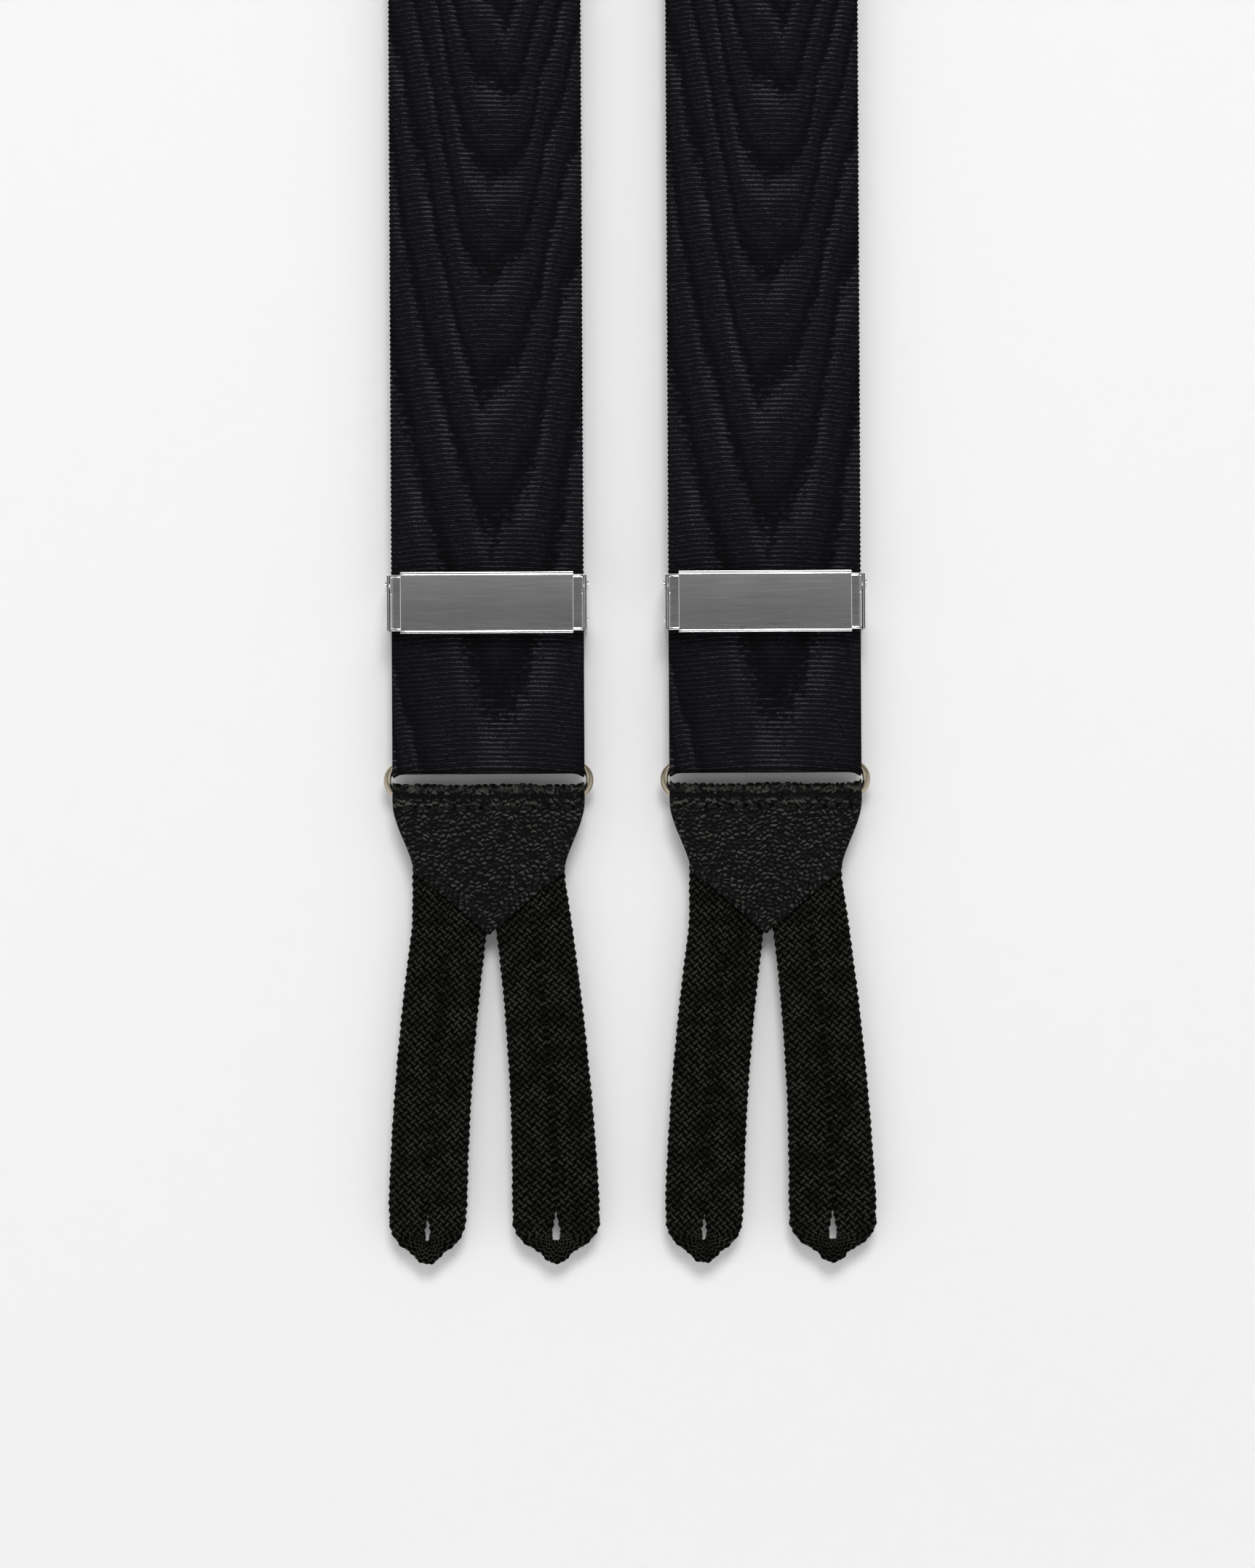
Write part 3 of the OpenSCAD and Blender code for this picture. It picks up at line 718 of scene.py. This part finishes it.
def braid_stations(base, half_low, hole_half):
    """Stations down one run of a loop, round its turn and up the other run.

    Each row is: length along, centre x, centre u, outward x, outward u, half width, half thickness.
    """
    theta = np.radians(np.linspace(0, 90, 91))
    turned = np.degrees(theta)
    nub = 1.45 * np.exp(-((turned / 19) ** 3))
    reach = 7.2 + (half_low - 7.45) * np.clip((turned - 40) / 50, 0, 1) ** 0.85 + nub
    rim_x, rim_u = reach * np.sin(theta), WIDEST_U - reach * np.cos(theta)

    down = np.arange(BRAID_TOP, TURN_U, -0.5)
    side = loop_half(half_low, down) - 0.25 * (1 - ease((down - WIDEST_U) / 4))
    half = np.where(down > WIDEST_U, side, np.interp(down, rim_u, rim_x))
    opened = np.clip((SLIT_TOP - down) / (SLIT_TOP - SLIT_LOW), 0, 1) ** 1.3
    slit = (hole_half + SLIT_OVERLAP) * opened - SLIT_OVERLAP
    middle = loop_middle(base, half_low, down)
    thick = BRAID_T / 2 - 0.3 * ease((down - 60) / 10)
    runs = {}
    for sign in (-1, 1):
        runs[sign] = np.stack([middle + sign * (half + slit) / 2, down, np.full(len(down), float(sign)),
                               np.zeros(len(down)), (half - slit) / 2, thick], axis=1)

    # Round the turn, the outer edge follows the rim, and the inner edge the buttonhole's end.
    phi = np.radians(np.linspace(-90, 90, 41))
    outer = np.interp(np.abs(phi), np.arctan2(rim_x, TURN_U - rim_u), np.hypot(rim_x, TURN_U - rim_u))
    below = (TURN_U - SLIT_LOW) / np.maximum(np.cos(phi), 1e-6)
    beside = slit[-1] / np.maximum(np.abs(np.sin(phi)), 1e-6)
    inner = np.minimum(np.minimum(below, beside), 1.3)
    mid = (outer + inner) / 2
    turn = np.stack([middle[-1] + mid * np.sin(phi), TURN_U - mid * np.cos(phi), np.sin(phi), -np.cos(phi),
                     (outer - inner) / 2, np.full(len(phi), BRAID_T / 2)], axis=1)
    rows = np.concatenate([runs[-1], turn, runs[1][::-1]])
    steps = np.hypot(*np.diff(rows[:, :2], axis=0).T)
    return np.concatenate([[[0.0], *np.cumsum(steps)[:, None]], rows], axis=1)


def section_table(half_w, half_t, power=3.0, count=400):
    """A flat rounded section at even steps of its length round: x and w, both from -1 to 1."""
    angle = np.linspace(0, 2 * math.pi, 4 * count + 1)
    x = np.sign(np.cos(angle)) * np.abs(np.cos(angle)) ** (2 / power)
    w = np.sign(np.sin(angle)) * np.abs(np.sin(angle)) ** (2 / power)
    steps = np.hypot(np.diff(x * half_w), np.diff(w * half_t))
    length = np.concatenate([[0], np.cumsum(steps)])
    even = np.linspace(0, length[-1], count + 1)
    return even / length[-1], np.interp(even, length, x), np.interp(even, length, w)


SECTION = section_table(3.6, 1.0)
USUAL_HALF = 3.8  # half the width of one run, where its yarns have their full width
SLANT = 0.0055


def on_braid(stations, length, turns, inset, rise):
    """Points at turns round the tube, the surface's outward direction there, and how wide the tube is."""
    at_station = (np.interp(length, stations[:, 0], stations[:, n]) for n in range(1, 7))
    centre_x, centre_u, aside_x, aside_u, half_w, half_t = at_station
    share, table_x, table_w = SECTION
    round_x, round_w = np.interp(turns % 1, share, table_x), np.interp(turns % 1, share, table_w)
    half_x, half_depth = half_w - inset, half_t - inset
    out_x, out_w = np.sign(round_x) * round_x**2 / half_x, np.sign(round_w) * round_w**2 / half_depth
    size = np.hypot(out_x, out_w) + 1e-9
    out_x, out_w = out_x / size, out_w / size
    across, depth = round_x * half_x + out_x * rise, round_w * half_depth + out_w * rise
    points = np.stack([centre_x + aside_x * across, centre_u + aside_u * across, LOOP_W + depth], axis=-1)
    outward = np.stack([aside_x * out_x, aside_u * out_x, out_w], axis=-1)
    return points, outward, half_w / USUAL_HALF


def lean(strap, points):
    """The front loops hang a little aslant from their tabs."""
    if strap is not BACK:
        points[..., 0] -= SLANT * np.clip(LOW_BAR - points[..., 1], 0, None)
    return points


def unit(vectors):
    """The same directions, each of length 1."""
    return vectors / (np.linalg.norm(vectors, axis=-1, keepdims=True) + 1e-12)


def braid_loop(strap, end, base, half_low, hole_half, seed):
    """Two sets of ten yarns, wound opposite ways and passing over and under one another, on a dark core."""
    rng = np.random.default_rng(seed)
    stations = braid_stations(base, half_low, hole_half)
    total = stations[-1, 0]
    length = np.arange(0, total, LAY / YARNS / 5)
    start = np.arange(2 * YARNS)[:, None] % YARNS / YARNS
    way = np.where(np.arange(2 * YARNS) < YARNS, 1.0, -1.0)[:, None]
    wobble = rng.uniform(0, 2 * math.pi, (2 * YARNS, 3))
    along = length[None, :]
    drift = 0.006 * np.sin(along * 0.9 + wobble[:, :1]) + 0.004 * np.sin(along * 2.3 + wobble[:, 1:2])
    turns = start + way * along / LAY + drift
    over = way * np.cos(2 * math.pi * YARNS * along / LAY)
    rise = 0.24 * over + 0.04 * np.sin(along * 1.7 + wobble[:, 2:3])
    points, outward, wide = on_braid(stations, np.broadcast_to(along, turns.shape), turns, 0.46, rise)
    tangent = unit(np.gradient(points, axis=1))
    sideways = unit(np.cross(tangent, outward))
    normal = np.cross(sideways, tangent)
    sides = 6
    beta = np.linspace(0, 2 * math.pi, sides, endpoint=False) + math.pi / sides
    yarn_half_w = 0.52 * np.clip(wide, 0.55, 1.1)[..., None, None]
    yarn_half_t = 0.3
    yarns = (points[:, :, None] + sideways[:, :, None] * (yarn_half_w * np.cos(beta)[:, None])
             + normal[:, :, None] * (yarn_half_t * np.sin(beta)[:, None]))
    quads, caps = tube_faces(2 * YARNS, len(length), sides)
    shade = rng.uniform(-0.12, 0.12, 2 * YARNS)[:, None]
    # crest: how far each yarn floats over, plus a random tone for each yarn; the material turns it into
    # painted highlight and shade.
    crest = 0.5 + 0.5 * over + shade
    thread = np.stack(np.broadcast_arrays(np.cos(beta), along[..., None] / 0.63, crest[..., None]), axis=-1)
    made = piece(f"{strap.name}_braid_{end}", strap, lean(strap, yarns), quads, caps, YARN, "braid",
                 thread=thread)

    rows, columns = 240, 24
    core_length = np.linspace(0, total, rows)[:, None]
    core_turns = np.linspace(0, 1, columns, endpoint=False)
    core, _, _ = on_braid(stations, np.broadcast_to(core_length, (rows, columns)),
                          np.broadcast_to(core_turns, (rows, columns)), 0.62, 0.0)
    core_quads, core_caps = tube_faces(1, rows, columns)
    core_thread = np.stack(np.broadcast_arrays(core_turns, core_length, 0.0), axis=-1)
    inside = piece(f"{strap.name}_braid_core_{end}", strap, lean(strap, core), core_quads, core_caps, YARN,
                   "braid", thread=core_thread)
    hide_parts(f"{strap.name}_braid_loop_{end}")
    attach(made, f"{strap.name}_tab")
    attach(inside, f"{strap.name}_tab")


# The numbers are each loop's middle and half width at its low end, and half the width of its buttonhole.
for seed, strap in enumerate((LEFT, RIGHT, BACK)):
    braid_loop(strap, "a", -12.15, 7.95, 0.7, 10 + seed)
    braid_loop(strap, "b", 13.45, 9.1, 1.15, 20 + seed)


# ---- Slide levers ----


def slab(low, high, r, rows, drop=None):
    """A metal sheet with rounded edges, as rings along x. drop(x, u) is how far its outer face falls."""
    low, high = np.array(low, float), np.array(high, float)
    turn = np.linspace(0, math.pi / 2, 5)
    start = r * (1 - np.cos(turn))
    x = np.concatenate([low[0] + start, np.linspace(low[0] + r, high[0] - r, rows)[1:-1],
                        (high[0] - start)[::-1]])
    inset = np.concatenate([r * (1 - np.sin(turn)), np.zeros(rows - 2), r * (1 - np.sin(turn))[::-1]])
    (u0, w0), (u1, w1) = low[1:] + r, high[1:] - r
    flat, bend = 25, 6
    quarter = np.linspace(0, math.pi / 2, bend)
    centre_u = np.concatenate([np.linspace(u0, u1, flat), np.full(2 * bend, u1), [u1, u0],
                               np.full(2 * bend, u0)])
    centre_w = np.concatenate([np.full(flat + bend, w1), np.full(2 * bend + 2, w0), np.full(bend, w1)])
    angle = np.concatenate([np.full(flat, math.pi / 2), math.pi / 2 - quarter, -quarter,
                            [-math.pi / 2] * 2, -math.pi / 2 - quarter, math.pi - quarter])
    radius = (r - inset)[:, None]
    u = centre_u + radius * np.cos(angle)
    w = centre_w + radius * np.sin(angle)
    if drop:
        w = w - drop(x[:, None], u) * (w - low[2]) / (high[2] - low[2])
    quads, caps = tube_faces(1, len(x), len(angle))
    return np.stack(np.broadcast_arrays(x[:, None], u, w), axis=-1), quads, caps


def join(parts):
    """One set of points and faces from several."""
    points, quads, caps, start = [], [], [], 0
    for part_points, part_quads, part_caps in parts:
        points.append(part_points.reshape(-1, 3))
        quads.append(part_quads + start)
        caps += [[corner + start for corner in cap] for cap in part_caps]
        start += len(points[-1])
    return np.concatenate(points), np.concatenate(quads), caps


def slide_lever(strap):
    """The lever: a crowned plate on a stepped under-sheet, two ears on the pins, and a toothed grip bar."""
    low, high = strap.measure(f"{strap.name}_lever")
    pin_low, pin_high = strap.measure(f"{strap.name}_lever_pins")
    half_w, face = high[0], high[2]
    plate_half = half_w - 2
    pivot = (pin_low[1] + pin_high[1]) / 2
    grip_low, grip_high = pivot - 1.0, pivot - 0.4

    def crown(x, u):
        """How far the plate's face falls towards its upper and lower edges and its ends."""
        return 0.0035 * (u - low[1] - 2) ** 2 + 0.00015 * x**2

    def fall(x, _):
        """How far the strips beside the plate fall towards their ends."""
        return 0.14 * np.clip((np.abs(x) - plate_half) / 2, 0, 1) ** 2

    parts = [slab((-plate_half, low[1], face - 0.6), (plate_half, high[1], face), 0.13, 30, crown),
             slab((-half_w, low[1] + 0.5, face - 1.1), (half_w, high[1] - 0.5, face - 0.5), 0.16, 60, fall),
             slab((-plate_half, grip_low, low[2] + 0.8), (plate_half, grip_high, face - 1), 0.1, 12)]
    for side in (-1, 1):
        ear = sorted((side * (half_w - 0.55), side * half_w))
        parts.append(slab((ear[0], pivot - 1.9, face - 2.8), (ear[1], pivot + 1.9, face - 0.6), 0.2, 4))
    teeth = 14
    for n in range(teeth):
        middle = plate_half * ((2 * n + 1) / teeth - 1)
        parts.append(slab((middle - 0.6, grip_low, low[2]), (middle + 0.6, grip_high, low[2] + 1), 0.18, 4))
    points, quads, caps = join(parts)
    made = piece(f"{strap.name}_lever_plate", strap, points, quads, caps, PLATE, "slide_metal")
    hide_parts(f"{strap.name}_lever")
    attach(made, f"{strap.name}_lever")


for strap in (LEFT, RIGHT):
    slide_lever(strap)


# ---- CAD nodes that stay, with their edges softened and better materials ----


def soften(node, width):
    """Joins the CAD mesh's faces and rounds its sharp edges a little."""
    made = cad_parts[node]
    made.modifiers.new("join", "WELD").merge_threshold = 0.002 * MM
    bevel = made.modifiers.new("edges", "BEVEL")
    bevel.width = width * MM
    bevel.segments = 3
    bevel.limit_method = "ANGLE"
    bevel.angle_limit = math.radians(35)
    bevel.harden_normals = True


def paint(node, material):
    """Gives a CAD node its one material."""
    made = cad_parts[node]
    made.data.materials.clear()
    made.data.materials.append(material)


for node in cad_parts:
    if node.endswith(("slide_frame", "lever_pins", "hem_bar")):
        paint(node, PLATE)
        soften(node, 0.09)
    elif node.endswith("wire_loop"):
        paint(node, WIRE)
    elif node.endswith("stitching"):
        paint(node, THREAD)
        soften(node, 0.08)
    elif node.endswith("seams"):
        paint(node, SEAM)
        soften(node, 0.08)


# ---- Studio, in metres ----


PALE = 0.86
ROOM = (0.85, 0.85, 0.85)
HALF_FLOOR = 4
FLOOR_Z = LEFT.z * MM - 0.075  # below the front loops
CARD_HALF_W = 0.16
CARD_Y = -0.0143  # behind the front straps, clear of their slides
CARD_TOP = BACK.z * MM - 0.013  # just below the back loops
VIEW_HEIGHT = 0.3102  # of the picture, at the ribbons
LENS, SENSOR = 100, 36  # millimetres


def stage_quad(name, points, material):
    """A flat part of the studio."""
    mesh = bpy.data.meshes.new(name)
    mesh.from_pydata(points, [], [range(len(points))])
    mesh.materials.append(material)
    made = bpy.data.objects.new(name, mesh)
    bpy.context.scene.collection.objects.link(made)
    return made


def floor():
    """A wide sheet of pale paper, below the loops."""
    paper = studio_surface("pale_paper")
    side = HALF_FLOOR
    stage_quad("floor", [(-side, -side, FLOOR_Z), (side, -side, FLOOR_Z), (side, side, FLOOR_Z),
                         (-side, side, FLOOR_Z)], paper.material)


def card():
    """A white card behind the front straps. From behind it isn't seen, and it casts no shadow."""
    white = studio_surface("white_card")
    clear = white.add("BsdfTransparent").outputs[0]
    from_behind = white.add("NewGeometry").outputs["Backfacing"]
    one_side = white.add("MixShader", {0: from_behind, 1: white.shader.outputs[0], 2: clear}).outputs[0]
    white.wire(white.tree.nodes["Material Output"].inputs["Surface"], one_side)
    side = CARD_HALF_W
    made = stage_quad("card", [(-side, CARD_Y, FLOOR_Z), (side, CARD_Y, FLOOR_Z), (side, CARD_Y, CARD_TOP),
                               (-side, CARD_Y, CARD_TOP)], white.material)
    made.visible_shadow = False


def room():
    """A pale room with a darker ceiling in front, and a dark patch there for the metal to mirror."""
    world = bpy.data.worlds.new("studio")
    bpy.context.scene.world = world
    world.use_nodes = True
    m = Nodes(world.node_tree)
    _, front_to_back, low_to_high = m.split(m.add("TexCoord").outputs["Generated"])
    height = m.add("MapRange", {0: low_to_high, 1: -1.0, 2: 1.0}).outputs[0]
    ceiling = m.ramp(height, [(0.0, ROOM), (0.55, ROOM), (0.66, [0.25] * 3), (1.0, [0.25] * 3)])
    patch = m.ramp(height, [(0.4, [0.07] * 3), (0.486, [0.095] * 3), (0.57, [0.185] * 3),
                            (0.68, [0.25] * 3)])
    is_behind = m.span(front_to_back, -0.3, 0.3)
    is_patch = m.span(front_to_back, -0.86, -0.97)
    pale = m.add("Mix", {0: is_behind, 6: ceiling, 7: (*ROOM, 1)}, data_type="RGBA").outputs[2]
    shades = m.add("Mix", {0: is_patch, 6: pale, 7: patch}, data_type="RGBA").outputs[2]
    m.wire(m.tree.nodes["Background"].inputs["Color"], shades)


def area_light(name, place, target, size, power):
    """A round soft light that faces its target."""
    data = bpy.data.lights.new(name, "AREA")
    data.shape = "DISK"
    data.size = size
    data.energy = power
    lamp = bpy.data.objects.new(name, data)
    lamp.location = place
    lamp.rotation_euler = (Vector(target) - Vector(place)).to_track_quat("-Z", "Y").to_euler()
    bpy.context.scene.collection.objects.link(lamp)


def front_camera(height):
    """Level, in front of the slides and loops, and turned a touch as the photograph is."""
    data = bpy.data.cameras.new("camera")
    data.lens = LENS
    data.sensor_width = SENSOR
    data.clip_start = 0.01
    camera = bpy.data.objects.new("camera", data)
    camera.location = (0.0001, -RIBBON_W_MID * MM - VIEW_HEIGHT * LENS / SENSOR, height)
    camera.rotation_euler = (math.radians(90), math.radians(0.3), 0)
    bpy.context.scene.collection.objects.link(camera)
    bpy.context.scene.camera = camera


floor()
card()
room()
middle = (0.0, -0.02, (LEFT.z + 95) * MM)
area_light("key", (0.2, -2.9, 1.3), middle, 1.3, 60)
area_light("fill", (-1.3, -3.1, 0.9), middle, 1.2, 5)
area_light("behind", (-1.6, 2.4, 1.2), (0, 0, -0.25), 1.6, 45)
front_camera(middle[2])
bpy.context.scene.view_settings.view_transform = "Standard"
